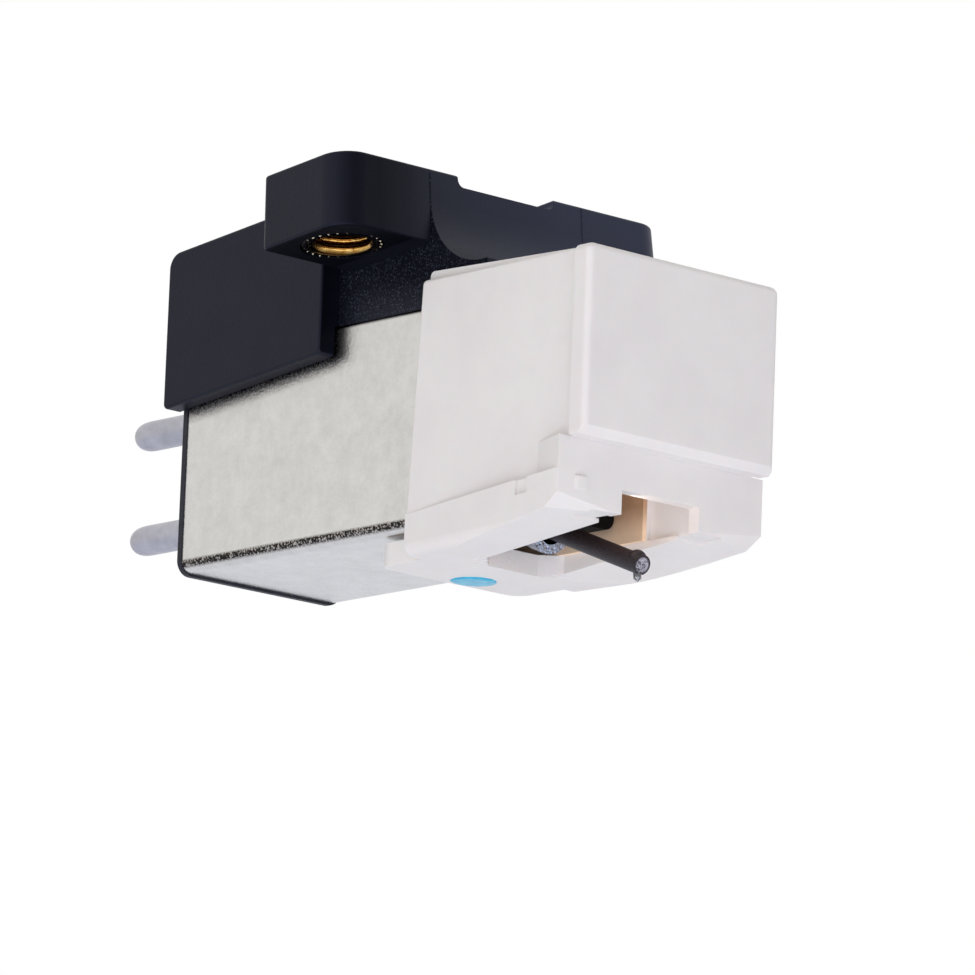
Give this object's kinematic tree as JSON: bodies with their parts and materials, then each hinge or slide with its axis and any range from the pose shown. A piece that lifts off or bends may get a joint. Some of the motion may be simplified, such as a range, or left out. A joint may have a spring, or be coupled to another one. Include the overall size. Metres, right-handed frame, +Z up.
{
  "type": "turntable stylus cartridge",
  "caption": "Moving-magnet turntable cartridge: black bracket with threaded ears, plated shield can with rear pins, and a white plug-in stylus with a sprung cantilever.",
  "frame": {"origin": "on the mounting plane, the top of the two ears, midway between the screw holes", "axes": "+Z up out of the mounting plane, -Y toward the stylus, +Y toward the pins, +X across the ears"},
  "size_m": [0.0168, 0.0291, 0.017],
  "materials": {
    "black_moulding": "satin black moulded ABS",
    "brass": "turned brass",
    "nickel_plated_sheet": "nickel-plated shielding sheet, fine grain",
    "tinned_pin": "tin-plated pin",
    "coil_moulding": "natural moulded nylon",
    "core_laminate": "permalloy sheet",
    "enamelled_copper": "enamelled copper wire, wound",
    "white_moulding": "semi-gloss white moulded ABS",
    "cyan_paint": "glossy paint",
    "plated_sleeve": "nickel-plated brass",
    "damper_rubber": "matt black rubber",
    "spring_wire": "spring steel wire",
    "carbon_composite": "carbon-fibre composite rod",
    "shank_metal": "dark metal shank",
    "diamond": "clear polished diamond",
    "magnet": "sintered magnet, plated"
  },
  "bodies": {
    "body": {"mounting_bracket": "black_moulding", "left_threaded_insert": "brass", "right_threaded_insert": "brass", "shield_can": "nickel_plated_sheet", "terminal_plate": "black_moulding", "left_signal_pin": "tinned_pin", "left_ground_pin": "tinned_pin", "right_signal_pin": "tinned_pin", "right_ground_pin": "tinned_pin", "coil_frame": "coil_moulding", "left_core": "core_laminate", "right_core": "core_laminate", "left_upper_bobbin": "coil_moulding", "left_lower_bobbin": "coil_moulding", "right_upper_bobbin": "coil_moulding", "right_lower_bobbin": "coil_moulding", "left_upper_winding": "enamelled_copper", "left_lower_winding": "enamelled_copper", "right_upper_winding": "enamelled_copper", "right_lower_winding": "enamelled_copper"},
    "stylus": {"stylus_holder": "white_moulding", "paint_dot": "cyan_paint", "suspension_sleeve": "plated_sleeve", "wire_anchor": "brass", "suspension_wire": "spring_wire"},
    "damper": {"rubber_damper": "damper_rubber"},
    "cantilever": {"cantilever": "carbon_composite", "stylus_shank": "shank_metal", "diamond_tip": "diamond", "left_magnet": "magnet", "right_magnet": "magnet", "magnet_yoke": "coil_moulding"}
  },
  "joints": [
    {"name": "stylus_pull", "type": "slide", "parent": "body", "child": "stylus", "axis": [0, -0.9945, -0.1045], "range_m": [0, 0.012]},
    {"name": "cantilever_sideways", "type": "hinge", "parent": "stylus", "child": "damper", "pos_m": [0, -0.00398, -0.01382], "axis": [0, -0.1045, 0.9945], "range_deg": [-3, 3], "stiffness_Nm_per_rad": 0.002},
    {"name": "cantilever_lift", "type": "hinge", "parent": "damper", "child": "cantilever", "pos_m": [0, -0.00398, -0.01382], "axis": [-1, 0, 0], "range_deg": [-1.5, 4], "stiffness_Nm_per_rad": 0.002}
  ]
}
